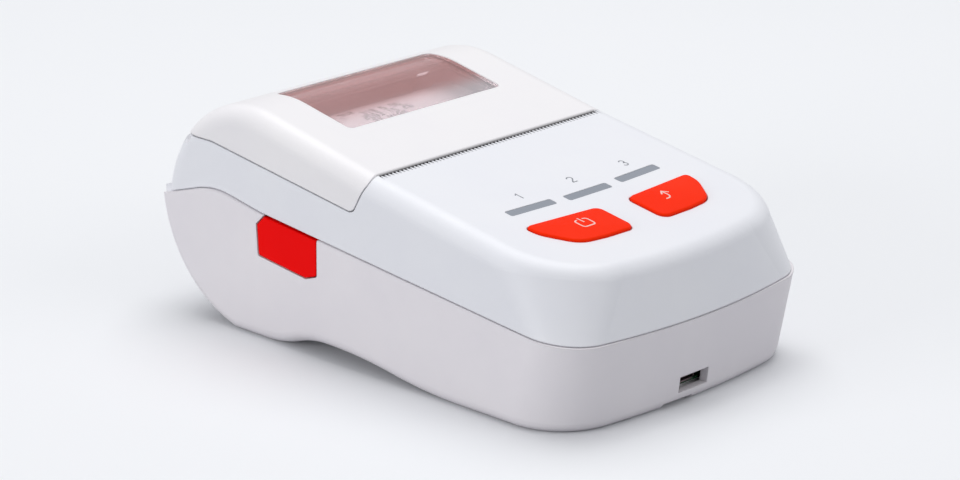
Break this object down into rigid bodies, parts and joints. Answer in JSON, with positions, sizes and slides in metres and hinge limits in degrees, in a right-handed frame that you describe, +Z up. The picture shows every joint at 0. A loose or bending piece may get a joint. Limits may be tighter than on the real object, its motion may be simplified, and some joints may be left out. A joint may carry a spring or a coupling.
{
  "type": "portable thermal receipt printer",
  "caption": "Battery-powered handheld receipt printer with a hinged paper cover, tinted window, keys and a side release button.",
  "frame": {"origin": "centre of the case's footprint box, on the surface it stands on", "axes": "+X to the right as seen from the front, -Y towards the charging socket, +Y towards the cover's hinge, +Z up"},
  "size_m": [0.076, 0.1248, 0.0502],
  "materials": {
    "upper_abs": "satin",
    "lower_abs": "satin",
    "cover_abs": "satin",
    "window_tint": "clear",
    "key_red": "satin",
    "button_red": "satin",
    "lamp_grey": "satin",
    "paper": "matte",
    "core": "matte",
    "platen_rubber": "matte",
    "steel": "satin",
    "spring_steel": "satin",
    "gear_acetal": "satin",
    "bush_acetal": "satin",
    "chassis_plastic": "matte",
    "chute_plastic": "matte",
    "sink_aluminium": "satin",
    "head_ceramic": "gloss",
    "ribbon_film": "satin",
    "board_laminate": "satin",
    "component_black": "matte",
    "shield_tin": "satin",
    "switch_plastic": "matte",
    "lamp_chip": "gloss",
    "battery_wrap": "satin",
    "contact_brass": "satin"
  },
  "bodies": {
    "case": {"battery_contacts": "contact_brass", "battery_pack": "battery_wrap", "board_components": "component_black", "board_screws": "steel", "case_screws": "steel", "charging_board": "board_laminate", "charging_socket": "shield_tin", "chassis": "chassis_plastic", "cover_switch": "switch_plastic", "feed_motor": "steel", "head_ribbon": "ribbon_film", "head_springs": "spring_steel", "heat_sink": "sink_aluminium", "hinge_pin": "steel", "idler_axle": "steel", "key_board": "board_laminate", "key_switches": "switch_plastic", "lamp_guides": "lamp_grey", "latch_pin": "steel", "latch_spring": "spring_steel", "lower_case": "lower_abs", "main_board": "board_laminate", "paper_chute": "chute_plastic", "paper_sensor": "switch_plastic", "print_head": "head_ceramic", "radio_module": "shield_tin", "sounder": "component_black", "status_lamps": "lamp_chip", "upper_case": "upper_abs"},
    "cover": {"paper_cover": "cover_abs", "cover_window": "window_tint", "platen_bushes": "bush_acetal"},
    "platen": {"platen_roller": "platen_rubber", "platen_shaft": "steel", "platen_gear": "gear_acetal"},
    "idler": {"idler_gear": "gear_acetal"},
    "pinion": {"motor_pinion": "steel"},
    "roll": {"paper_roll": "paper", "roll_core": "core"},
    "release": {"release_button": "button_red"},
    "lever": {"latch_lever": "bush_acetal"},
    "power": {"power_key": "key_red"},
    "feed": {"feed_key": "key_red"},
    "door": {"battery_door": "lower_abs"}
  },
  "joints": [
    {"name": "cover_hinge", "type": "hinge", "parent": "case", "child": "cover", "pos_m": [0, 0.05445, 0.04036], "axis": [-1, 0, 0], "range_deg": [0, 90]},
    {"name": "platen_spin", "type": "hinge", "parent": "cover", "child": "platen", "pos_m": [0, 0.0036, 0.0345], "axis": [1, 0, 0], "continuous": true},
    {"name": "idler_spin", "type": "hinge", "parent": "case", "child": "idler", "pos_m": [0, 0.00336, 0.02438], "axis": [1, 0, 0], "continuous": true},
    {"name": "pinion_spin", "type": "hinge", "parent": "case", "child": "pinion", "pos_m": [0, -0.004, 0.019], "axis": [1, 0, 0], "continuous": true},
    {"name": "roll_spin", "type": "hinge", "parent": "case", "child": "roll", "pos_m": [0, 0.03605, 0.022], "axis": [1, 0, 0], "continuous": true},
    {"name": "release_press", "type": "slide", "parent": "case", "child": "release", "axis": [1, 0, 0], "range_m": [0, 0.001], "stiffness_N_per_m": 1500, "springref_m": -0.0002},
    {"name": "lever_swing", "type": "hinge", "parent": "case", "child": "lever", "pos_m": [-0.032, 0, 0.029], "axis": [0, -1, 0], "range_deg": [0, 6.5]},
    {"name": "power_press", "type": "slide", "parent": "case", "child": "power", "axis": [0, 0.1702, -0.9854], "range_m": [0, 0.00025], "stiffness_N_per_m": 3000, "springref_m": -0.0001},
    {"name": "feed_press", "type": "slide", "parent": "case", "child": "feed", "axis": [0, 0.1702, -0.9854], "range_m": [0, 0.00025], "stiffness_N_per_m": 3000, "springref_m": -0.0001},
    {"name": "door_hinge", "type": "hinge", "parent": "case", "child": "door", "pos_m": [0, -0.0139, 0.00163], "axis": [1, 0, 0], "range_deg": [0, 75]}
  ],
  "couplings": [
    {"joint": "idler_spin", "follows": "platen_spin", "ratio": -0.66667},
    {"joint": "pinion_spin", "follows": "platen_spin", "ratio": 1.3333},
    {"joint": "lever_swing", "follows": "release_press", "rad_per_m": 111.11}
  ]
}
